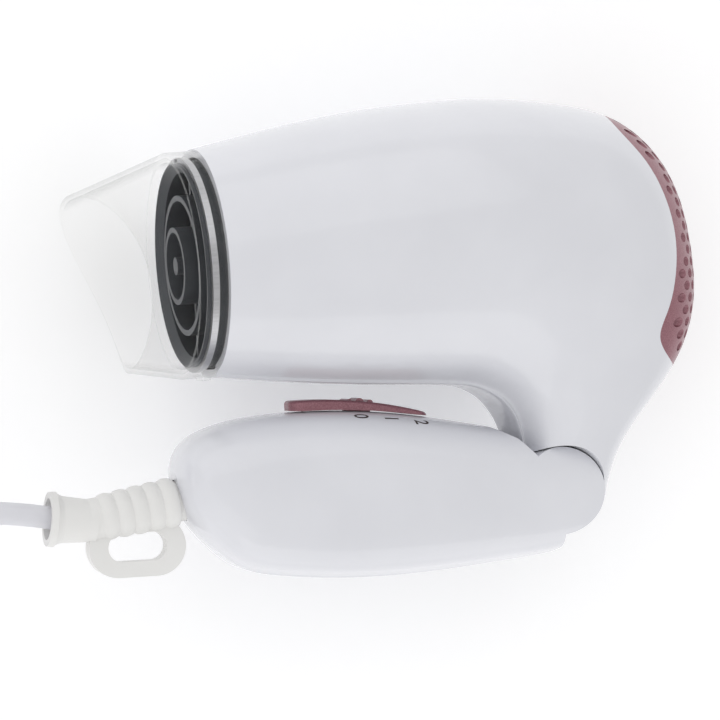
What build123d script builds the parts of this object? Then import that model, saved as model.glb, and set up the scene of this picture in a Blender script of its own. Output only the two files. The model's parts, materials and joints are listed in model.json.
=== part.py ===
from build123d import *
import math
import os

# A folding travel hair dryer, lying on its right flank with its fold plane level.
# Working frame: X runs along the barrel from the rim of its outlet towards its rear, Y points
# from the handle to the barrel, Z points from the right flank to the left flank, and Z = 0 is
# the seam between the two shell halves. Every part is moved by OUT at the end, which puts the
# origin under the middle of the dryer's box, on the surface that the dryer lies on.

# --- barrel shell ---
WALL = 2.0
# Sections fan round the throat between barrel and handle. Each one is: outer point on the
# back of the shell (x, y), inner point on its throat side (x, y), half width, squareness.
BARREL = [
    (-24.0, 22.6, -24.0, -23.6, 23.2, 2.0),
    (-12.0, 25.6, -12.0, -25.9, 25.8, 2.0),
    (0.0, 28.2, 0.0, -27.9, 28.1, 2.0),
    (12.0, 30.5, 12.0, -29.7, 30.2, 2.0),
    (25.0, 32.8, 25.0, -31.5, 32.3, 2.0),
    (40.0, 34.8, 39.0, -33.1, 33.9, 2.0),
    (49.0, 35.6, 46.2, -33.8, 34.6, 2.0),
    (58.0, 36.0, 53.0, -34.4, 35.0, 2.0),
    (68.0, 36.3, 58.4, -35.0, 35.05, 2.0),
    (78.0, 36.0, 63.0, -35.6, 34.9, 2.0),
    (95.0, 33.8, 68.5, -37.4, 34.1, 2.0),
    (110.0, 29.4, 72.2, -39.8, 32.6, 2.05),
    (120.2, 20.8, 74.4, -42.3, 30.6, 2.1),
    (125.9, 10.0, 76.0, -45.0, 28.4, 2.15),
    (128.6, -3.4, 77.0, -48.0, 26.0, 2.2),
    (128.3, -18.0, 77.8, -51.5, 23.6, 2.3),
    (122.9, -31.4, 78.0, -55.0, 21.2, 2.4),
    (112.8, -43.2, 77.5, -58.5, 19.2, 2.6),
    (103.2, -55.4, 76.0, -62.0, 17.6, 2.8),
    (98.9, -68.0, 74.0, -66.0, 16.6, 3.0),
]
SHELL_TOP = 35.11

SCREW_R = 1.3
HEAD_R = 2.4
HEAD_H = 1.8
BOSS_R = 3.0
PILOT = 8.0
# Screw places: x, y, depth of the head under the seam.
BARREL_SCREWS = [(20.0, 27.4, 8.0), (20.0, -27.2, 8.0), (103.2, 27.8, 8.0), (103.0, -41.0, 8.0)]
HANDLE_SCREWS = [(2.0, -45.5, 7.0), (8.0, -72.0, 7.0), (70.0, -75.5, 7.0)]
# Edge of the rear grille in the fold plane, from the top of the barrel to its neck.
GRILLE_EDGE = [(109.0, 32.5), (106.6, 27.0), (110.9, 18.2), (115.5, 7.6), (117.3, -1.5),
               (116.1, -13.5), (112.9, -21.6), (110.6, -27.4), (113.2, -32.0), (121.6, -37.0)]
HOLE_R = 1.2
HOLE_PITCH = 3.5
HOLE_MARGIN = 2.5

# --- fold hinge ---
HINGE = (84.8, -63.8)
DISC_R = 11.0
TONGUE_R = 10.6
TONGUE_Z = 7.2
SLOT_Z = 7.7
RUN = 0.4
FOLD_RANGE = 76.0
TIP_ANGLE = -11.0
BUSH_R = 3.6
BUSH_BORE = 2.6
BUSH_Z = 13.0
WIRE_Z = 3.0
WIRE_R = 1.0
DIP = [(64.0, -44.2), (70.0, -46.6), (75.0, -49.8)]
STEP_ANGLE = -89.0

# --- handle shell ---
# Sections square to X: x, top, bottom, half width, squareness.
HANDLE = [
    (-11.2, -50.0, -55.0, 4.0, 2.2),
    (-10.2, -46.4, -59.5, 9.2, 2.3),
    (-7.8, -43.0, -64.0, 12.8, 2.4),
    (-3.1, -40.6, -69.6, 15.0, 2.5),
    (3.0, -39.1, -74.8, 16.4, 2.6),
    (12.0, -38.3, -77.7, 17.0, 2.7),
    (26.0, -38.5, -79.8, 17.3, 2.8),
    (42.0, -40.2, -80.9, 17.3, 2.8),
    (58.0, -43.4, -80.9, 17.0, 2.8),
    (72.0, -46.7, -80.4, 16.6, 2.9),
    (86.0, -48.6, -79.5, 16.0, 3.0),
    (98.0, -49.4, -78.5, 15.6, 3.0),
]

# --- switch slider, on the top of the handle ---
SLIDE_R = 218.0
SLIDE_C = (10.8, -256.0)
SLIDER_X = (18.9, 54.8)
SLIDER_W = 9.6
# Height of its top over the arc at its cord end, middle and hinge end.
SLIDER_TOP = (2.74, 2.6, 0.9)
SLIDER_CORNER = 3.6
SLIDER_EDGE = 1.0
SLIDER_STEP = 7.8
STEM_X = (34.0, 40.0)
STEM_W = 4.0
RIB_X = [34.4, 37.1, 39.8]
RIB_R = [0.8, 1.1, 0.8]
RIB_SUNK = 0.35

# --- outlet, heater, fan and motor ---
SPIGOT_R = 25.0
SHELL_BORE = 25.6
GRILLE_BORE = 22.7
GRILLE_TURN = 8.0
TUBE_R = 24.0
BOARD_X = (9.0, 52.0)
MID_BOARD = 30.5
COIL_X = [13.0, 18.0, 23.0, 28.0, 33.0, 38.0, 43.0]
COIL_R = 20.4
FAN_R = 25.6
FAN_X = (84.0, 96.0)
DUCT_R = 26.4
MOTOR_R = 12.0
SHAFT_R = 1.0

# --- concentrator nozzle ---
COLLAR_R = 27.8
COLLAR_X = -6.9
NOZZLE_WALL = 1.3
MOUTH_X = -26.5
MOUTH_HIGH = 22.0
MOUTH_WIDE = 26.4
MOUTH_DROP = -1.5
MOUTH_TURN = 14.0
MOUTH_LEAN = 0.32
LIP_CUT = 6.0
RING_R = 26.3
PULL_OFF = 30.0

# --- strain relief and cord ---
RELIEF_ROOT = (-8.0, -57.0)
RELIEF_BEND = (-33.4, -59.6)
RELIEF_TIP = (-43.0, -58.2)
RELIEF_NECK_R = 5.2
RELIEF_HOLE_R = 5.1
RELIEF_RIBS = 5
RIB_START = 3.4
RIB_PITCH = 3.8
RIB_RISE = 0.55
GROOVE_R = (5.75, 5.15)
# The flare beyond the bend: distances from the bend and radii there. It starts inside the neck.
FLARE = [(-2.0, 0.0, 5.2, 5.2), (0.0, 6.6, 5.2, 5.75), (6.6, 8.1, 5.75, 6.5)]
RECESS = 4.0
LOOP_AT = (-21.9, -67.1)
LOOP_SIZE = (24.0, 14.6)
LOOP_HOLE = (14.6, 7.0)
LOOP_THICK = 4.5
LOOP_TURN = -3.0
CORD_D = 5.5
FLOOR_Z = -SHELL_TOP
# The spare length is wound clockwise: three turns wide and three high, a tie round them.
COIL_AT = (-112.0, -34.0)
TURN_GAP = 5.6
TURN_R = 29.0
TIE_THICK = 0.7
TIE_WIDE = 7.0
COIL_LOW = FLOOR_Z + TIE_THICK
COIL_THICK = 2 * TURN_GAP + CORD_D
OUTER_TURN_Y = COIL_AT[1] - TURN_R - TURN_GAP
TOP_TURN_Z = COIL_LOW + CORD_D / 2 + 2 * TURN_GAP
LOW_TURN_Z = COIL_LOW + CORD_D / 2
PLUG_Z = FLOOR_Z + 13.1
# Cord from the strain relief down to the top of the coil, and from its foot to the plug.
LEAD = [
    (-39.0, -58.8, 0.0),
    (-55.0, -54.6, -0.6),
    (-71.0, -56.2, -6.4),
    (-86.5, -62.2, -13.6),
    (-101.5, -67.6, -19.2),
    (-116.5, OUTER_TURN_Y, TOP_TURN_Z),
]
TAIL = [
    (-116.0, OUTER_TURN_Y, LOW_TURN_Z),
    (-145.4, OUTER_TURN_Y, LOW_TURN_Z),
    (-161.0, -59.6, LOW_TURN_Z + 2.0),
    (-170.0, -44.0, PLUG_Z - 2.0),
    (-170.6, -26.0, PLUG_Z),
]
PIN_R = 2.4
PIN_LONG = 19.0
PIN_GAP = 19.0

OUT = Location((-42.18, 21.87, SHELL_TOP))
FAR = 60.0
ALONG = (Align.CENTER, Align.CENTER, Align.MIN)


def at_hinge(radius, degrees_up):
    """Point at a radius and an angle from the hinge, in the fold plane."""
    a = math.radians(degrees_up)
    return (HINGE[0] + radius * math.cos(a), HINGE[1] + radius * math.sin(a))


def half_section(outer, inner, half_width, squareness, inset=0.0):
    """Left half of a squared-off ellipse between two points of the fold plane."""
    span = Vector(*outer) - Vector(*inner)
    along = span.normalized()
    middle = Vector(*inner) + span * 0.5
    plane = Plane(origin=middle, x_dir=along, z_dir=(along.Y, -along.X, 0))
    a = span.length / 2 - inset
    b = half_width - inset
    steps = 12
    points = []
    for i in range(steps + 1):
        t = math.pi * i / steps
        c = math.cos(t)
        u = math.copysign(abs(c) ** (2 / squareness), c) if abs(c) > 1e-9 else 0.0
        v = math.sin(t) ** (2 / squareness) if 0 < i < steps else 0.0
        points.append((a * u, b * v))
    edge = Spline(*points, tangents=[(0, 1), (0, -1)])
    return plane * make_face(edge + Line(points[-1], points[0]))


def barrel_loft(inset=0.0):
    return loft([half_section((x1, y1), (x2, y2), b, n, inset) for x1, y1, x2, y2, b, n in BARREL])


def handle_loft(inset=0.0):
    sections = [half_section((x, top), (x, low), b, n, inset) for x, top, low, b, n in HANDLE]
    return loft(sections)


def rod(start, end, radius):
    """Round bar between two points."""
    start, end = Vector(*start), Vector(*end)
    return Plane(origin=start, z_dir=end - start) * extrude(Circle(radius), (end - start).length)


def disc(radius, low, high, centre=HINGE):
    """Round bar along Z between two heights."""
    return Pos(centre[0], centre[1], low) * extrude(Circle(radius), high - low)


def along_x(radius, low, high, bore=0.0):
    """Round bar or ring along the barrel axis."""
    face = Circle(radius) - Circle(bore) if bore else Circle(radius)
    return Plane(origin=(low, 0, 0), z_dir=(1, 0, 0)) * extrude(face, high - low)


def block(x, y, z):
    """Box from three (low, high) pairs."""
    size = [high - low for low, high in (x, y, z)]
    middle = [(low + high) / 2 for low, high in (x, y, z)]
    return Pos(*middle) * Box(*size)


def prism(points, low, high):
    """Polygon of the fold plane, stood up between two heights."""
    face = make_face(Polyline(*points, close=True))
    return Pos(0, 0, low) * extrude(face, high - low)


def right_of(part):
    """The mirror twin of a left-hand part."""
    return mirror(part, about=Plane.XY)


def fan(radius, start, end):
    """Sector of the fold plane round the hinge, from one angle down to another."""
    steps = 8
    turn = (end - start) / steps
    return [HINGE] + [at_hinge(radius, start + turn * i) for i in range(steps + 1)]


# --- barrel shells ---
def barrel_hollow():
    """Left barrel shell with neck, hinge recess and tongue."""
    hub = disc(DISC_R + RUN + WALL, 0, FAR)
    shell = barrel_loft() - (barrel_loft(WALL) - hub)
    shell -= block((-FAR, 0), (-FAR, FAR), (-1, FAR))
    shell -= prism(fan(FAR, TIP_ANGLE, TIP_ANGLE - 194), -1, FAR)
    shell -= disc(DISC_R + RUN, TONGUE_Z, FAR)
    cheek = [(x + 0.2, y + RUN) for x, y in DIP + [at_hinge(DISC_R, 123)]]
    shell -= prism(cheek + [HINGE, (HINGE[0], -90), (DIP[0][0], -90)], TONGUE_Z, FAR)
    shell += disc(TONGUE_R, 0, TONGUE_Z)
    shell -= disc(BUSH_R + RUN, -1, FAR)
    shell -= prism([at_hinge(2, 20), at_hinge(2, 110), at_hinge(20, 84), at_hinge(20, 56)], -1, WIRE_Z)
    return shell


def grille_zone():
    """Region of the fold plane behind the edge of the rear inlet grille."""
    edge = Spline(*GRILLE_EDGE)
    first, last = GRILLE_EDGE[0], GRILLE_EDGE[-1]
    rim = Polyline(last, (last[0] + 30, last[1] - 8), (170, 0), (150, 60), (first[0] + 2, 60), first)
    return extrude(make_face(edge + rim), FAR)


def rear_grille(outer):
    """Perforated rear cap: staggered rows of holes along X, clear of its edge."""
    zone = grille_zone()
    cap = (outer - barrel_loft(WALL)) & zone
    edge = Spline(*GRILLE_EDGE)
    row_gap = HOLE_PITCH * math.sqrt(0.75)
    holes = []
    for row in range(-11, 11):
        shift = HOLE_PITCH / 2 * (row % 2)
        for column in range(8):
            y, z = row * row_gap, column * HOLE_PITCH + shift
            hits = cap.find_intersection_points(Axis((60, y, z + 0.01), (1, 0, 0)))
            if not hits:
                continue
            x = max(point.X for point, _ in hits)
            if edge.distance_to(Vertex(x, y, 0)) < HOLE_MARGIN:
                continue
            holes.append(Pos(90, y, z) * Rot(Y=90) * Cylinder(HOLE_R, FAR, align=ALONG))
    half = cap - holes
    return half + right_of(half)


def screw_hole(x, y, depth):
    """Cutter for a shank clearance hole and a head counterbore, from the right flank."""
    cut = disc(SCREW_R + 0.3, -FAR, 0.1, (x, y))
    return cut + disc(HEAD_R + 0.4, -FAR, -depth, (x, y))


def shell_pair(left, outer, screws):
    """Left and right shells, with a boss at each screw and holes for it."""
    posts = [disc(BOSS_R, 0, FAR, (x, y)) & outer for x, y, _ in screws]
    for post in posts:
        left += post
    right = right_of(left)
    for x, y, depth in screws:
        left -= disc(SCREW_R - 0.15, -1, PILOT, (x, y))
        right -= screw_hole(x, y, depth)
    return left, right


def screws(places):
    """Self-tapping screws, heads in the right shell's counterbores."""
    out = []
    for x, y, depth in places:
        shank = disc(SCREW_R - 0.25, -depth - 0.5, PILOT - 1, (x, y))
        head = disc(HEAD_R, -depth - HEAD_H, -depth - 0.02, (x, y))
        cross = Pos(x, y, -depth - HEAD_H) * Box(3.0, 0.7, 1.6)
        cross += Pos(x, y, -depth - HEAD_H) * Box(0.7, 3.0, 1.6)
        out.append(shank + head - cross)
    return Compound(out)


# --- handle shells ---
def handle_hollow():
    """Left handle shell with cheek, slot for the tongue, and openings for switch and cord."""
    outer = handle_loft()
    hub = disc(DISC_R + WALL + 0.6, 0, FAR) + block((73.6, 76.0), (-64, -44), (0, FAR))
    shell = outer - (handle_loft(WALL) - hub)
    step = [at_hinge(80, STEP_ANGLE - 24), at_hinge(17.2, STEP_ANGLE - 9), at_hinge(14.6, STEP_ANGLE)]
    left_side = [(-FAR, -100), (-FAR, -20), (50, -20)] + DIP + [at_hinge(DISC_R, 123), HINGE]
    profile = prism(left_side + [at_hinge(DISC_R - 1, STEP_ANGLE)] + step[::-1], -1, FAR)
    profile += disc(DISC_R, -1, FAR)
    shell = shell & profile
    shell -= disc(DISC_R + 0.2, -1, SLOT_Z)
    shell -= block((76.0, 100), (-63.3, -30), (-1, SLOT_Z))
    shell -= disc(BUSH_R - 0.02, -1, BUSH_Z)
    low = STEM_X[0] - 0.6
    shell -= block((low, STEM_X[1] + 2 * SLIDER_STEP + 0.6), (-52, -30), (-1, STEM_W / 2 + 0.3))
    shell -= relief_disc(-9.0, 9.0, RELIEF_HOLE_R, RELIEF_HOLE_R)
    return shell


def over_arc(x, rise):
    """Point above the arc that the slider travels on."""
    return (x, SLIDE_C[1] + math.sqrt(SLIDE_R ** 2 - (x - SLIDE_C[0]) ** 2) + rise)


def slider_block():
    """Round-cornered block under the slider's curved top, well down into the handle."""
    low, high = SLIDER_X
    middle, deep = (low + high) / 2, -46.0
    over = ThreePointArc(*[over_arc(x, rise) for x, rise in zip((low, middle, high), SLIDER_TOP)])
    side = make_face(over + Polyline(over @ 1, (high, deep), (low, deep), over @ 0))
    plan = Plane(origin=(middle, deep - 1, 0), x_dir=(1, 0, 0), z_dir=(0, 1, 0))
    plan *= RectangleRounded(high - low, SLIDER_W, SLIDER_CORNER)
    return extrude(side, SLIDER_W / 2, both=True) & extrude(plan, FAR)


def switch_slider():
    """Thumb piece that follows the handle's top, with three grip ribs and a stem."""
    grown = handle_loft(-RUN)
    pad = slider_block() - (grown + right_of(grown))
    top = pad.faces().filter_by(lambda face: face.normal_at().Y > 0.8)[0]
    pad = fillet(top.edges(), SLIDER_EDGE)
    for x, size in zip(RIB_X, RIB_R):
        pad += Pos(*over_arc(x, SLIDER_TOP[1] - RIB_SUNK), 0) * Cylinder(size, SLIDER_W - 3.6)
    return pad + block(STEM_X, (-46.0, -38.0), (-STEM_W / 2, STEM_W / 2))


def switch_actuator():
    """Carriage under the slot, hooked on the slider's stem."""
    x_low, x_high = STEM_X[0] - 2.0, STEM_X[1] + 2.0
    carriage = block((x_low, x_high), (-51.5, -46.0), (-4.5, 4.5))
    return carriage + block((x_low + 3, x_high - 3), (-56.0, -51.5), (-1.5, 1.5))


def switch_body():
    body = block((22, 66), (-67, -54.5), (-7, 7))
    return body - block((32, 60.5), (-59.6, -50), (-1.9, 1.9))


def switch_terminals():
    return Compound([block((x, x + 0.8), (-73, -67), (-2.4, 2.4)) for x in (26, 37, 48, 59)])


def switch_rails():
    """Clips that carry the switch body on the inside of the right shell."""
    rails = [block((x, x + 2), (-67.5, -53.5), (-13.2, -7)) for x in (23, 63)]
    return Compound(rails)


# --- hinge pieces ---
def hinge_bush():
    """Hollow steel rivet through cheeks and tongue, with a window for the wires."""
    bush = disc(BUSH_R, -BUSH_Z, BUSH_Z) - disc(BUSH_BORE, -FAR, FAR)
    return bush - block((HINGE[0] - 1.6, HINGE[0] + 2.4), (HINGE[1], HINGE[1] + 9), (-WIRE_Z, WIRE_Z))


def wave_washer():
    """Spring washer between the tongue and the left cheek."""
    return disc(9.0, TONGUE_Z + 0.05, SLOT_Z - 0.05) - disc(BUSH_R + 0.3, 0, FAR)


def hinge_washer():
    """Plain washer between the tongue and the right cheek."""
    return right_of(wave_washer())


# --- outlet, heater, fan and motor ---
def outlet_grille():
    """Spigot ring with two stepped rings and a hub on a cross of spokes."""
    ring = along_x(SPIGOT_R, -4.9, 5.0, GRILLE_BORE)
    ring -= Plane(origin=(-5.0, 0, 0), z_dir=(1, 0, 0)) * Pos(0, 0, 0.95) * Cone(24.6, GRILLE_BORE, 1.9)
    ring += along_x(SHELL_BORE, 0.6, 5.0, SPIGOT_R - 0.5)
    ring += along_x(17.2, -4.5, 0.5, 15.8)
    ring += along_x(9.5, -6.2, 0.5, 8.2)
    ring += along_x(2.2, -6.1, 0.5)
    for turn in range(4):
        arm = Rot(X=GRILLE_TURN + 90 * turn) * block((-1.6, 0.5), (1.8, GRILLE_BORE + 0.6), (-0.8, 0.8))
        ring += arm
    return ring


def heat_tube():
    """Rolled mica sleeve round the heater."""
    return along_x(TUBE_R, 5.2, 56, TUBE_R - 0.6)


def slotted_board(turn, slot_low, slot_high):
    """Mica board across the tube, notched for the coils and slotted for its twin."""
    board = block((BOARD_X[0], BOARD_X[1]), (-21, 21), (-0.5, 0.5))
    for x in COIL_X:
        for side in (-1, 1):
            board -= Pos(x, side * COIL_R, 0) * Box(2.0, 2.6, 2.0)
    board -= block((slot_low, slot_high), (-0.6, 0.6), (-1, 1))
    return Rot(X=turn) * board


def mica_board_upright():
    return slotted_board(45, BOARD_X[0] - 1, MID_BOARD + 0.2)


def mica_board_level():
    return slotted_board(-45, MID_BOARD, BOARD_X[1] + 1)


def heater_coils():
    """Wound resistance wire, one closed turn at each notch of the boards."""
    turns = [Plane(origin=(x, 0, 0), z_dir=(1, 0, 0)) * Torus(COIL_R, 0.55) for x in COIL_X]
    return Compound(turns)


def thermostat():
    """Bimetal cut-out clipped to the board, with its curved arm."""
    base = block((44, 52), (-2.5, 2.5), (0.6, 4.0))
    return Rot(X=45) * Pos(0, 9, 0) * (base + block((50, 54), (-1.5, 1.5), (4.0, 4.6)))


def thermal_fuse():
    body = rod((36, -9, 2.2), (45, -9, 2.2), 1.6)
    return Rot(X=45) * (body + rod((33, -9, 2.2), (48, -9, 2.2), 0.4))


def fan_housing():
    """Duct with the stator vanes that hold the motor's sleeve."""
    duct = along_x(DUCT_R, 56.4, FAN_X[1] + 2, DUCT_R - 1.4)
    sleeve = along_x(MOTOR_R + 1.6, 60, 82, MOTOR_R)
    vanes = []
    for i in range(9):
        vane = block((62, 80), (MOTOR_R + 1.2, DUCT_R - 1.0), (-0.7, 0.7))
        vanes.append(Rot(X=40 * i) * vane)
    lug = block((60, 66), (DUCT_R - 0.4, DUCT_R + 3.6), (-3, 3))
    lugs = [Rot(X=turn) * lug for turn in (60, 120, 240, 300)]
    return duct + sleeve + vanes + lugs


def fan_impeller():
    """Hub with twisted blades, behind the motor."""
    low, high = FAN_X
    hub = along_x(8.0, low, high) - along_x(SHAFT_R, low - 1, high - 3)
    for i in range(7):
        root = Plane(origin=(low + 5, 0, 7.2), z_dir=(0, 0, 1)) * Rot(0, 0, 32) * Rectangle(11.5, 1.4)
        tip = Plane(origin=(low + 5, 0, FAN_R - 1.6), z_dir=(0, 0, 1)) * Rot(0, 0, 52) * Rectangle(12.5, 0.9)
        hub += Rot(X=360 / 7 * i) * loft([root, tip])
    return hub & along_x(FAN_R - 0.9, low, high + 2)


def motor_can():
    can = along_x(MOTOR_R - 0.02, 61, 80) - along_x(MOTOR_R - 1.2, 62.2, 81)
    return can + along_x(4.0, 58.6, 61) - along_x(SHAFT_R + 0.05, 50, 70)


def motor_magnets():
    ring = along_x(MOTOR_R - 1.25, 63, 76, MOTOR_R - 3.6)
    return Compound([ring & block((60, 80), side, (-20, 20)) for side in ((0.8, 20), (-20, -0.8))])


def motor_end_cap():
    return along_x(MOTOR_R - 1.25, 77.4, 80.4, SHAFT_R + 0.05)


def motor_rotor():
    """Laminated armature and commutator on the shaft."""
    core = along_x(7.6, 64, 75, SHAFT_R)
    for i in range(3):
        core -= Rot(X=120 * i) * block((63, 76), (4.0, 9), (-1.2, 1.2))
    return core + along_x(2.6, 75, 77, SHAFT_R)


def motor_shaft():
    return along_x(SHAFT_R, 58.0, FAN_X[1] - 3)


def rectifier_board():
    """Round board on the motor's front end with four diodes."""
    board = along_x(11.0, 55.4, 56.6) - along_x(4.4, 50, 60)
    for y, z in ((6.5, 3), (6.5, -3), (-6.5, 3), (-6.5, -3)):
        board += rod((50.4, y, z), (55.4, y, z), 1.3)
    return board


def inlet_mesh():
    """Fine guard ring with cross bars over the fan's inlet."""
    low = FAN_X[1] + 2.2
    guard = along_x(DUCT_R, low, low + 1.4, DUCT_R - 1.6)
    for offset in range(-20, 21, 5):
        half = math.sqrt((DUCT_R - 1) ** 2 - offset ** 2)
        guard += block((low, low + 0.6), (offset - 0.3, offset + 0.3), (-half, half))
        guard += block((low + 0.4, low + 1.0), (-half, half), (offset - 0.3, offset + 0.3))
    return guard


def barrel_wires():
    """Two insulated wires from beside the hinge's rivet to the heater and the motor."""
    path_low = [(*at_hinge(5.5, 82), 0), (88.5, -50, 0), (88, -40, 3), (78, -30.5, 3), (60, -29.4, 3)]
    wires = []
    for side in (-1.25, 1.25):
        route = [(x, y, z + side) for x, y, z in path_low]
        line = FilletPolyline(*route, radius=3.0)
        wires.append(sweep(Plane(origin=line @ 0, z_dir=line % 0) * Circle(WIRE_R), path=line))
    return Compound(wires)


# --- concentrator ---
def nozzle_taper(inset):
    """Solid taper from the round collar to the lowered oval mouth."""
    reach = -36.0
    grow = (reach - COLLAR_X) / (MOUTH_X - COLLAR_X)
    high = COLLAR_R + (MOUTH_HIGH - COLLAR_R) * grow - inset
    wide = COLLAR_R + (MOUTH_WIDE - COLLAR_R) * grow - inset
    upright = (0, math.cos(math.radians(MOUTH_TURN)), -math.sin(math.radians(MOUTH_TURN)))
    mouth = Plane(origin=(reach, MOUTH_DROP * grow, 0), x_dir=upright, z_dir=(-1, 0, 0))
    collar = Plane(origin=(COLLAR_X, 0, 0), x_dir=upright, z_dir=(-1, 0, 0)) * Circle(COLLAR_R - inset)
    return loft([collar, mouth * Ellipse(high, wide)], ruled=True)


def lip_cutter():
    """Everything ahead of the curved, leaning lip line."""
    def lip(w):
        lift = LIP_CUT * (1 - (w / MOUTH_HIGH) ** 2)
        return (MOUTH_X + lift - MOUTH_LEAN * w, w)
    reach = [-30, -20, -10, 0, 10, 20, 30]
    line = Spline(*[lip(w) for w in reach])
    front = Polyline(line @ 1, (-FAR, 30), (-FAR, -40), line @ 0)
    face = make_face(line + front)
    return Pos(0, MOUTH_DROP, 0) * Rot(X=-MOUTH_TURN) * extrude(face, FAR, both=True)


def concentrator_nozzle():
    collar = along_x(COLLAR_R, COLLAR_X, -0.4, SPIGOT_R + 0.35)
    collar -= along_x(RING_R + 0.1, -3.9, -2.1, SPIGOT_R)
    taper = nozzle_taper(0) - nozzle_taper(NOZZLE_WALL)
    lug = block((-2.6, -0.4), (-COLLAR_R - 0.7, -COLLAR_R + 0.6), (-3.5, 3.5))
    return collar + (taper - lip_cutter()) + lug


def nozzle_snap_ring():
    """Split spring ring in the collar's groove, gripping the spigot."""
    ring = along_x(RING_R, -3.8, -2.2, SPIGOT_R + 0.06)
    return ring - block((-5, 0), (0, 40), (-1.5, 1.5))


# --- cord end of the handle ---
def relief_disc(low, high, low_r, high_r, start=RELIEF_ROOT, end=RELIEF_BEND):
    """Round taper on the relief's axis, between two distances from a start point."""
    along = (Vector(*end) - Vector(*start)).normalized()
    base = Plane(origin=Vector(*start) + along * low, z_dir=along)
    top = Plane(origin=Vector(*start) + along * high, z_dir=along)
    return loft([base * Circle(low_r), top * Circle(high_r)], ruled=True)


def relief_profile():
    """Half outline of the sleeve along its axis: a flange behind the shell, then soft ribs, then a neck."""
    flange = [(-7.0, 0), (-7.0, 7.4), (-3.6, 7.4), (-3.6, 5.0), (RIB_START, 5.0), (RIB_START, GROOVE_R[0])]
    line = [Polyline(*flange)]
    for i in range(RELIEF_RIBS):
        low, high = RIB_START + RIB_PITCH * i, RIB_START + RIB_PITCH * (i + 1)
        left = GROOVE_R[0] + (GROOVE_R[1] - GROOVE_R[0]) * i / RELIEF_RIBS
        right = GROOVE_R[0] + (GROOVE_R[1] - GROOVE_R[0]) * (i + 1) / RELIEF_RIBS
        crest = (left + right) / 2 + RIB_RISE
        line.append(ThreePointArc((low, left), ((low + high) / 2, crest), (high, right)))
    neck = line[-1] @ 1
    line.append(Polyline(neck, (25.5, RELIEF_NECK_R), (25.5, 0), (-7.0, 0)))
    return make_face(Curve() + line)


def strain_relief():
    """Ribbed sleeve moulded on the cord, with a flared end and a flat hanging loop."""
    along = (Vector(*RELIEF_BEND) - Vector(*RELIEF_ROOT)).normalized()
    axis = Plane(origin=RELIEF_ROOT, x_dir=along, z_dir=(0, 0, 1))
    body = axis * revolve(relief_profile(), Axis.X)
    long = (Vector(*RELIEF_TIP) - Vector(*RELIEF_BEND)).length
    for low, high, low_r, high_r in FLARE + [(8.1, long, 6.75, 6.6)]:
        body += relief_disc(low, high, low_r, high_r, RELIEF_BEND, RELIEF_TIP)
    eye = SlotOverall(*LOOP_SIZE) - SlotOverall(*LOOP_HOLE)
    body += Pos(*LOOP_AT, 0) * Rot(Z=LOOP_TURN) * extrude(eye, LOOP_THICK / 2, both=True)
    return body - relief_disc(long - RECESS, long + 1, 4.4, 5.2, RELIEF_BEND, RELIEF_TIP)


def cord_clamp():
    """Bar screwed down over the cord inside the handle."""
    return block((2, 7), (-64, -48.5), (-8.5, -3.0)) - inner_cord_line(CORD_D / 2 + 0.02)


def inner_cord_line(radius):
    return relief_disc(-20.0, -7.0, radius, radius)


def clamp_screws():
    return Compound([rod((4.5, y, -13.0), (4.5, y, -8.5), 1.2) for y in (-61.5, -50.5)])


def cord_inside():
    """End of the cord in the handle, stripped to its two wires."""
    wires = [rod((11.8, -55.4, z), (20.6, -58.2, z * 2), WIRE_R) for z in (-1.3, 1.3)]
    return inner_cord_line(CORD_D / 2) + wires


def handle_wires():
    """Two insulated wires from the switch to the hinge's hollow rivet."""
    return Compound([rod((66.5, -62.0, z), (70.5, -62.0, z), WIRE_R) for z in (-3.75, 3.75)])


# --- far end of the cord ---
def corner_radii(route):
    """Largest arc that each corner's two runs allow."""
    radii = []
    for before, at, after in zip(route, route[1:], route[2:]):
        first, second = Vector(*at) - Vector(*before), Vector(*after) - Vector(*at)
        half_turn = math.radians(first.get_angle(second) / 2)
        radii.append(0.45 * min(first.length, second.length) / math.tan(half_turn))
    return radii


def cord_tube(name, route):
    radii = corner_radii(route)
    line = FilletPolyline(*route, radius=radii)
    tube = sweep(Plane(origin=line @ 0, z_dir=line % 0) * Circle(CORD_D / 2), path=line)
    print(name, "length", round(line.length, 1), "radii", [round(r, 1) for r in radii])
    return tube


def coil_bundle(grow):
    """Square-shouldered ring of the coil's turns, grown or shrunk all round."""
    size = COIL_THICK + 2 * grow
    middle = COIL_LOW + COIL_THICK / 2
    section = Plane.XZ * Pos(TURN_R, middle) * RectangleRounded(size, size, CORD_D / 2)
    return Pos(*COIL_AT, 0) * revolve(section, Axis.Z)


def cord_coil():
    return coil_bundle(0)


def cord_tie():
    """Strap round the bundle on the coil's far side."""
    x, y = COIL_AT
    slice_x = (x - TIE_WIDE / 2, x + TIE_WIDE / 2)
    band = block(slice_x, (y, y + FAR), (FLOOR_Z, FLOOR_Z + FAR))
    return (coil_bundle(TIE_THICK) - coil_bundle(-0.1)) & band


def at_plug(shape):
    """Stands a shape drawn along +Y from the plug's cord end where the plug lies."""
    x, y, z = TAIL[-1]
    return Pos(x, y, z) * Rot(Z=1.9) * shape


def plug_slice(y, wide, high, corner):
    return Plane(origin=(0, y, 0), x_dir=(1, 0, 0), z_dir=(0, 1, 0)) * RectangleRounded(wide, high, corner)


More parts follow.
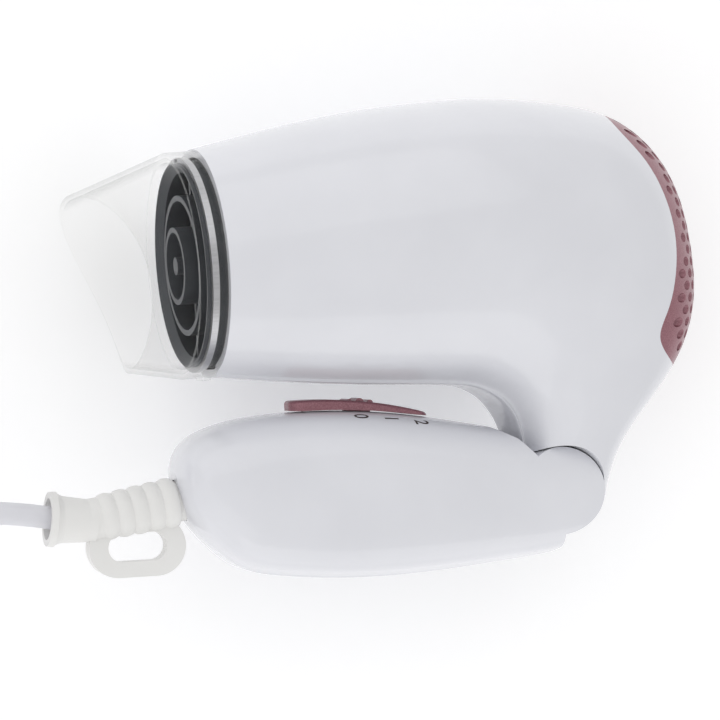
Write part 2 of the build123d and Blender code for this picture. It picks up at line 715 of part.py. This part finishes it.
def plug_body():
    """Two-pin contour plug with a ribbed relief on its cord end."""
    sleeve = Plane(origin=(0, 0, 0), z_dir=(0, 1, 0))
    body = loft([sleeve * Circle(3.6), sleeve.offset(24) * Circle(5.0)], ruled=True)
    for i in range(4):
        body += Pos(0, 5 + 4.6 * i, 0) * Rot(X=90) * Cylinder(4.9 + 0.3 * i, 2.0)
    body += loft([plug_slice(22, 14, 13, 6.0), plug_slice(32, 25, 20, 8.5), plug_slice(44, 31, 23.4, 10.5)])
    return body + extrude(plug_slice(44, 35.4, 26.1, 11.8), 8.5)


def plug_pins():
    pins = []
    for side in (-0.5, 0.5):
        pin = Plane(origin=(side * PIN_GAP, 52.5, 0), z_dir=(0, 1, 0)) * extrude(Circle(PIN_R), PIN_LONG)
        pins.append(chamfer(pin.faces().sort_by(Axis.Y)[-1].edges(), 0.8))
    return Compound(pins)


def write(name, shape):
    export_step(OUT * shape, os.path.join("parts", name + ".step"))


def main():
    os.makedirs("parts", exist_ok=True)
    outer = barrel_loft()
    left, right = shell_pair(barrel_hollow() - grille_zone(), outer, BARREL_SCREWS)
    write("barrel_shell_left", left)
    write("barrel_shell_right", right)
    write("rear_grille", rear_grille(outer))
    left, right = shell_pair(handle_hollow(), handle_loft(), HANDLE_SCREWS)
    write("handle_shell_left", left)
    write("handle_shell_right", right)
    write("barrel_screws", screws(BARREL_SCREWS))
    write("handle_screws", screws(HANDLE_SCREWS))
    write("cord_lead", cord_tube("cord_lead", LEAD))
    write("cord_tail", cord_tube("cord_tail", TAIL))
    for piece in PIECES:
        write(piece.__name__, at_plug(piece()) if piece in (plug_body, plug_pins) else piece())


PIECES = (
    switch_slider, switch_actuator, switch_body, switch_terminals, switch_rails,
    hinge_bush, wave_washer, hinge_washer,
    outlet_grille, heat_tube, mica_board_upright, mica_board_level, heater_coils, thermostat, thermal_fuse,
    fan_housing, fan_impeller, motor_can, motor_magnets, motor_end_cap, motor_rotor, motor_shaft,
    rectifier_board, inlet_mesh, barrel_wires,
    concentrator_nozzle, nozzle_snap_ring,
    strain_relief, cord_clamp, clamp_screws, cord_inside, handle_wires,
    cord_coil, cord_tie, plug_body, plug_pins,
)

if __name__ == "__main__":
    main()
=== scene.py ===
import json
import math

import bmesh
import bpy
from mathutils import Matrix, Vector


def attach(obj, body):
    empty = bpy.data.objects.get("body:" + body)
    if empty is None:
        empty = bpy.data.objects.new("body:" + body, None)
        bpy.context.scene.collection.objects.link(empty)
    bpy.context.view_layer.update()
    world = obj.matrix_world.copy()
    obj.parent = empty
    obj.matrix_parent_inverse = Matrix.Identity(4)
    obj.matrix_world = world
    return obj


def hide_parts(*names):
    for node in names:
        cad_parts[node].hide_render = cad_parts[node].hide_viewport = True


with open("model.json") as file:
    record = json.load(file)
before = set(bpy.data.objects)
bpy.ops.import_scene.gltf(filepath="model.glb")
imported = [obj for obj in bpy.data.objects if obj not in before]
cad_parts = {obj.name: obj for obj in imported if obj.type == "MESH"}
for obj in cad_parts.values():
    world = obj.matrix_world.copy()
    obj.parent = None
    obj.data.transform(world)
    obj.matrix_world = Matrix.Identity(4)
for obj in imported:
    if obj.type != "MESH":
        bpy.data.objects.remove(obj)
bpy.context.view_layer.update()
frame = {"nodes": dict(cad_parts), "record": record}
NODES = frame["nodes"]

# The CAD's working frame has its origin in the middle of the barrel's rim. ORIGIN is that point
# in the row frame, in metres, and place() turns millimetres there into metres in the row frame.
ORIGIN = Vector((-0.04218, 0.02187, 0.03511))


def place(x, y, z=0.0):
    return ORIGIN + Vector((x, y, z)) / 1000


# --- camera: above the left flank, a little towards the cord's end ---
VIEW_FROM = place(-160.94, -9.46, 618.19)
VIEW_ALONG = Vector((0.3078, -0.0269, -0.9511))
VIEW_ROLL = math.radians(5.0)
SENSOR = 36.0
LENS = 130.0


def make_camera():
    data = bpy.data.cameras.new("camera")
    data.sensor_width = SENSOR
    data.lens = LENS
    data.clip_start = 0.01
    camera = bpy.data.objects.new("camera", data)
    bpy.context.collection.objects.link(camera)
    back = -VIEW_ALONG.normalized()
    up = Vector((math.sin(VIEW_ROLL), math.cos(VIEW_ROLL), 0.0))
    right = up.cross(back).normalized()
    up = back.cross(right)
    turn = Matrix((right, up, back)).transposed().to_4x4()
    camera.matrix_world = Matrix.Translation(VIEW_FROM) @ turn
    bpy.context.scene.camera = camera


# --- node helpers ---
def new_material(name):
    material = bpy.data.materials.new(name)
    material.use_nodes = True
    return material, material.node_tree, material.node_tree.nodes["Principled BSDF"]


def add(tree, kind, **values):
    node = tree.nodes.new(kind)
    for key, value in values.items():
        if key in node.inputs:
            node.inputs[key].default_value = value
        else:
            setattr(node, key, value)
    return node


def object_noise(tree, scale, detail=4.0, roughness=0.55):
    """Noise in the piece's own coordinates, which are the row frame's metres."""
    where = add(tree, "ShaderNodeTexCoord")
    noise = add(tree, "ShaderNodeTexNoise", Scale=scale, Detail=detail, Roughness=roughness)
    tree.links.new(where.outputs["Object"], noise.inputs["Vector"])
    return noise.outputs["Fac"]


def ramp(tree, value, low, high, start, end):
    """Colour that goes from low to high as value goes from start to end."""
    node = add(tree, "ShaderNodeValToRGB")
    node.color_ramp.elements[0].position = start
    node.color_ramp.elements[1].position = end
    node.color_ramp.elements[0].color = (*low, 1)
    node.color_ramp.elements[1].color = (*high, 1)
    tree.links.new(value, node.inputs["Fac"])
    return node.outputs["Color"]


def spread(tree, value, low, high):
    """Number that goes from low to high as value goes from 0 to 1."""
    node = add(tree, "ShaderNodeMapRange")
    node.inputs["To Min"].default_value = low
    node.inputs["To Max"].default_value = high
    tree.links.new(value, node.inputs["Value"])
    return node.outputs["Result"]


def bump(tree, shader, value, strength):
    """Skin texture a tenth of a millimetre deep at full strength."""
    node = add(tree, "ShaderNodeBump", Strength=strength, Distance=0.0001)
    tree.links.new(value, node.inputs["Height"])
    tree.links.new(node.outputs["Normal"], shader.inputs["Normal"])


def plastic(name, low, high, rough, grain, strength, coat=0.0):
    """Moulded plastic: slight colour drift, uneven gloss and a fine skin texture."""
    material, tree, shader = new_material(name)
    drift = object_noise(tree, 40.0)
    tree.links.new(ramp(tree, drift, low, high, 0.3, 0.7), shader.inputs["Base Color"])
    fine = object_noise(tree, grain, 6.0)
    tree.links.new(spread(tree, fine, rough * 0.85, rough * 1.15), shader.inputs["Roughness"])
    bump(tree, shader, fine, strength)
    shader.inputs["Coat Weight"].default_value = coat
    shader.inputs["Coat Roughness"].default_value = 0.08
    return material


def trim_material():
    """Rose-mauve metallic paint: fine flakes under a satin lacquer."""
    material, tree, shader = new_material("trim_pink")
    flakes = object_noise(tree, 4200.0, 2.0)
    dark, light = (0.225, 0.086, 0.106), (0.36, 0.165, 0.195)
    tree.links.new(ramp(tree, flakes, dark, light, 0.35, 0.68), shader.inputs["Base Color"])
    shader.inputs["Metallic"].default_value = 0.35
    tree.links.new(spread(tree, object_noise(tree, 300.0), 0.30, 0.42), shader.inputs["Roughness"])
    bump(tree, shader, flakes, 0.05)
    shader.inputs["Coat Weight"].default_value = 0.25
    shader.inputs["Coat Roughness"].default_value = 0.2
    return material


def clear_material():
    """Thin clear plastic: seen through head on, and greyer where it is seen along its wall."""
    material, tree, shader = new_material("nozzle_clear")
    haze = object_noise(tree, 60.0)
    dull, bright = (0.70, 0.705, 0.70), (0.75, 0.755, 0.75)
    tree.links.new(ramp(tree, haze, dull, bright, 0.3, 0.7), shader.inputs["Base Color"])
    shader.inputs["Roughness"].default_value = 0.06
    through = add(tree, "ShaderNodeBsdfTransparent")
    through.inputs["Color"].default_value = (0.99, 0.99, 0.988, 1)
    edge = add(tree, "ShaderNodeLayerWeight", Blend=0.12)
    head_on, along_wall = (0.008,) * 3, (0.80,) * 3
    share = ramp(tree, edge.outputs["Facing"], head_on, along_wall, 0.2, 0.6)
    mix = add(tree, "ShaderNodeMixShader")
    tree.links.new(share, mix.inputs["Fac"])
    tree.links.new(through.outputs["BSDF"], mix.inputs[1])
    tree.links.new(shader.outputs["BSDF"], mix.inputs[2])
    tree.links.new(mix.outputs["Shader"], tree.nodes["Material Output"].inputs["Surface"])
    return material


def metal(name, colour, rough, streak):
    """Metal with fine streaks along X."""
    material, tree, shader = new_material(name)
    where = add(tree, "ShaderNodeTexCoord")
    stretch = add(tree, "ShaderNodeMapping")
    stretch.inputs["Scale"].default_value = (40.0, streak, streak)
    noise = add(tree, "ShaderNodeTexNoise", Scale=1.0, Detail=5.0)
    tree.links.new(where.outputs["Object"], stretch.inputs["Vector"])
    tree.links.new(stretch.outputs["Vector"], noise.inputs["Vector"])
    dark = tuple(channel * 0.82 for channel in colour)
    tree.links.new(ramp(tree, noise.outputs["Fac"], dark, colour, 0.3, 0.7), shader.inputs["Base Color"])
    shader.inputs["Metallic"].default_value = 1.0
    tree.links.new(spread(tree, noise.outputs["Fac"], rough * 0.8, rough * 1.3), shader.inputs["Roughness"])
    return material


# Plastics: dark and light tone, roughness, grain of the skin, its strength, and any lacquer.
MATERIALS = {
    "shell_white": plastic("shell_white", (0.70, 0.705, 0.745), (0.735, 0.74, 0.78), 0.22, 900.0, 0.02, 0.5),
    "trim_pink": trim_material(),
    "grille_dark": plastic("grille_dark", (0.030, 0.033, 0.040), (0.050, 0.054, 0.062), 0.42, 1500.0, 0.15),
    "nozzle_clear": clear_material(),
    "relief_ivory": plastic("relief_ivory", (0.76, 0.755, 0.74), (0.81, 0.805, 0.79), 0.5, 1800.0, 0.12),
    "cord_white": plastic("cord_white", (0.68, 0.68, 0.72), (0.73, 0.73, 0.77), 0.45, 1600.0, 0.10),
    "plug_white": plastic("plug_white", (0.68, 0.68, 0.70), (0.74, 0.74, 0.76), 0.42, 1700.0, 0.12),
    "pin_nickel": metal("pin_nickel", (0.74, 0.72, 0.67), 0.2, 2500.0),
    "steel": metal("steel", (0.55, 0.55, 0.57), 0.3, 2500.0),
    "inner_plastic": plastic("inner_plastic", (0.02, 0.02, 0.022), (0.04, 0.04, 0.043), 0.5, 1500.0, 0.15),
    "brass_parts": metal("brass_parts", (0.72, 0.55, 0.28), 0.28, 2000.0),
    "magnet_dark": plastic("magnet_dark", (0.03, 0.03, 0.03), (0.06, 0.06, 0.06), 0.7, 2200.0, 0.4),
    "mica": plastic("mica", (0.36, 0.29, 0.19), (0.52, 0.45, 0.32), 0.45, 900.0, 0.3, 0.2),
    "board_green": plastic("board_green", (0.03, 0.13, 0.05), (0.05, 0.18, 0.08), 0.35, 1200.0, 0.1, 0.3),
    "wire_blue": plastic("wire_blue", (0.05, 0.11, 0.38), (0.08, 0.15, 0.45), 0.5, 1500.0, 0.1),
    "ink": plastic("ink", (0.030, 0.018, 0.016), (0.045, 0.028, 0.024), 0.5, 3000.0, 0.05),
    "tie_black": plastic("tie_black", (0.012, 0.012, 0.012), (0.03, 0.03, 0.03), 0.5, 1800.0, 0.2),
}


def paint(thing, slot):
    thing.data.materials.clear()
    thing.data.materials.append(MATERIALS[slot])


def paint_cad():
    """Gives each CAD node the material of its slot in the record."""
    slots = {part["node"]: part["material_slot"] for part in frame["record"]["subparts"]}
    for name, node in NODES.items():
        paint(node, slots[name])


# --- cord: its whole length is one spline, which lies where the CAD's tubes and coil are ---
CORD_D = 5.5
LEAD = [
    (-39.0, -58.8, 0.0),
    (-55.0, -54.6, -0.6),
    (-71.0, -56.2, -6.4),
    (-86.5, -62.2, -13.6),
    (-101.5, -67.6, -19.2),
]
TAIL = [
    (-145.4, -68.6, -31.66),
    (-161.0, -59.6, -29.66),
    (-170.0, -44.0, -24.01),
    (-170.6, -26.0, -22.01),
]
COIL_AT = (-112.0, -34.0)
TURN_R = 29.0
TURN_GAP = 5.6
COIL_MIDDLE_Z = -26.06
STEPS = 16
MOVE_OVER = 1 / 3
# Cells of the bundle in the order that the cord fills them: steps outward, steps up.
CELLS = [(1, 1), (0, 1), (-1, 1), (-1, 0), (-1, -1), (0, -1), (0, 0), (1, 0), (1, -1)]


def coil_points():
    """One turn in each cell of the bundle, moving over to its cell in its first third."""
    points = []
    for turn, (out, up) in enumerate(CELLS):
        before_out, before_up = CELLS[max(turn - 1, 0)]
        for step in range(STEPS):
            share = min(1.0, step / (STEPS * MOVE_OVER))
            radius = TURN_R + TURN_GAP * (before_out + (out - before_out) * share)
            z = COIL_MIDDLE_Z + TURN_GAP * (before_up + (up - before_up) * share)
            angle = -math.pi / 2 - 2 * math.pi * step / STEPS
            x = COIL_AT[0] + radius * math.cos(angle)
            points.append((x, COIL_AT[1] + radius * math.sin(angle), z))
    points.append((COIL_AT[0], COIL_AT[1] - TURN_R - TURN_GAP, COIL_MIDDLE_Z - TURN_GAP))
    return points


def make_cord():
    curve = bpy.data.curves.new("mains_cord", "CURVE")
    curve.dimensions = "3D"
    curve.bevel_depth = CORD_D / 2000
    curve.bevel_resolution = 5
    curve.resolution_u = 8
    curve.use_fill_caps = True
    route = LEAD + coil_points() + TAIL
    spline = curve.splines.new("NURBS")
    spline.points.add(len(route) - 1)
    for point, spot in zip(spline.points, route):
        point.co = (*place(*spot), 1.0)
    spline.order_u = 3
    spline.use_endpoint_u = True
    cord = bpy.data.objects.new("mains_cord", curve)
    bpy.context.collection.objects.link(cord)
    paint(cord, "cord_white")
    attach(cord, "handle")
    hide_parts("cord_lead", "cord_tail", "cord_coil")


# --- switch positions, printed on the handle's left flank beside the slider ---
# Each digit's place along the handle, and how far round from its top it is, in degrees.
DIGITS = {"0": (35.2, 24.5), "1": (42.8, 27.5), "2": (50.4, 31.0)}
DIGIT_HIGH = 3.7
FONT_CAP_SHARE = 0.72
HANDLE_CORE_Y = -60.0
CORE_TO_FLANK = 20.0
RAY_START = 0.06
DIGIT_BOLD = 0.05
INK = 0.02


def make_digit(digit, x, lean):
    """A numeral whose top points to the hinge, laid on the curved shell as a thin film of ink."""
    text = bpy.data.curves.new("text_" + digit, "FONT")
    text.body = digit
    text.size = DIGIT_HIGH / FONT_CAP_SHARE
    text.offset = DIGIT_BOLD
    text.align_x = "CENTER"
    text.align_y = "CENTER"
    text.resolution_u = 6
    drawn = bpy.data.objects.new("drawn", text)
    bpy.context.collection.objects.link(drawn)
    mesh = bpy.data.meshes.new_from_object(drawn.evaluated_get(bpy.context.evaluated_depsgraph_get()))
    bpy.data.objects.remove(drawn)
    shape = bmesh.new()
    shape.from_mesh(mesh)
    bmesh.ops.triangulate(shape, faces=shape.faces)
    bmesh.ops.subdivide_edges(shape, edges=shape.edges, cuts=2, use_grid_fill=True)
    shell = NODES["handle_shell_left"]
    for corner in shape.verts:
        tilt = math.radians(lean) + corner.co.x / CORE_TO_FLANK
        outwards = Vector((0, math.cos(tilt), math.sin(tilt)))
        core = place(x + corner.co.y, HANDLE_CORE_Y)
        hit, spot, normal, _ = shell.ray_cast(core + outwards * RAY_START, -outwards)
        corner.co = spot + normal * INK / 1000 if hit else core
    shape.to_mesh(mesh)
    numeral = bpy.data.objects.new("numeral_" + digit, mesh)
    bpy.context.collection.objects.link(numeral)
    thicken = numeral.modifiers.new("ink", "SOLIDIFY")
    thicken.thickness = INK / 1000
    thicken.offset = 1.0
    paint(numeral, "ink")
    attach(numeral, "handle")


# --- studio ---
FLOOR_HALF = 4.0
FLOOR_DROP = 0.0005
FLOOR_GLOW = 0.16
SKY_STRENGTH = 0.75
# Name, place, aim, size and power of each soft light.
LIGHTS = [
    ("key", (-0.25, 0.75, 0.75), (0.02, 0.0, 0.03), (1.8, 1.2), 3.2),
    ("fill", (-0.7, -0.5, 0.6), (0.0, 0.0, 0.03), (1.2, 1.2), 1.2),
    ("under", (0.1, -0.8, 0.25), (0.0, 0.0, 0.03), (1.2, 0.5), 1.2),
]


def make_floor():
    """Pale, faintly glowing table that the dryer lies on."""
    mesh = bpy.data.meshes.new("floor")
    shape = bmesh.new()
    bmesh.ops.create_grid(shape, x_segments=1, y_segments=1, size=FLOOR_HALF)
    shape.to_mesh(mesh)
    floor = bpy.data.objects.new("floor", mesh)
    bpy.context.collection.objects.link(floor)
    material, tree, shader = new_material("floor_paper")
    shader.inputs["Roughness"].default_value = 0.9
    tone = ramp(tree, object_noise(tree, 3.0), (0.95, 0.95, 0.955), (0.97, 0.97, 0.975), 0.3, 0.7)
    tree.links.new(tone, shader.inputs["Base Color"])
    shader.inputs["Emission Color"].default_value = (1, 1, 1, 1)
    shader.inputs["Emission Strength"].default_value = FLOOR_GLOW
    floor.data.materials.append(material)
    floor.location.z = -FLOOR_DROP


def area_light(name, at, towards, size, power):
    data = bpy.data.lights.new(name, "AREA")
    data.shape = "RECTANGLE"
    data.size, data.size_y = size
    data.energy = power
    light = bpy.data.objects.new(name, data)
    bpy.context.collection.objects.link(light)
    light.location = at
    light.rotation_euler = (Vector(towards) - Vector(at)).to_track_quat("-Z", "Y").to_euler()


def make_lights():
    world = bpy.data.worlds.new("studio")
    world.use_nodes = True
    sky = world.node_tree.nodes["Background"]
    sky.inputs["Color"].default_value = (1.0, 1.0, 1.0, 1)
    sky.inputs["Strength"].default_value = SKY_STRENGTH
    bpy.context.scene.world = world
    for light in LIGHTS:
        area_light(*light)


make_camera()
paint_cad()
make_cord()
for digit, (x, lean) in DIGITS.items():
    make_digit(digit, x, lean)
make_floor()
make_lights()
bpy.context.scene.view_settings.view_transform = "Standard"
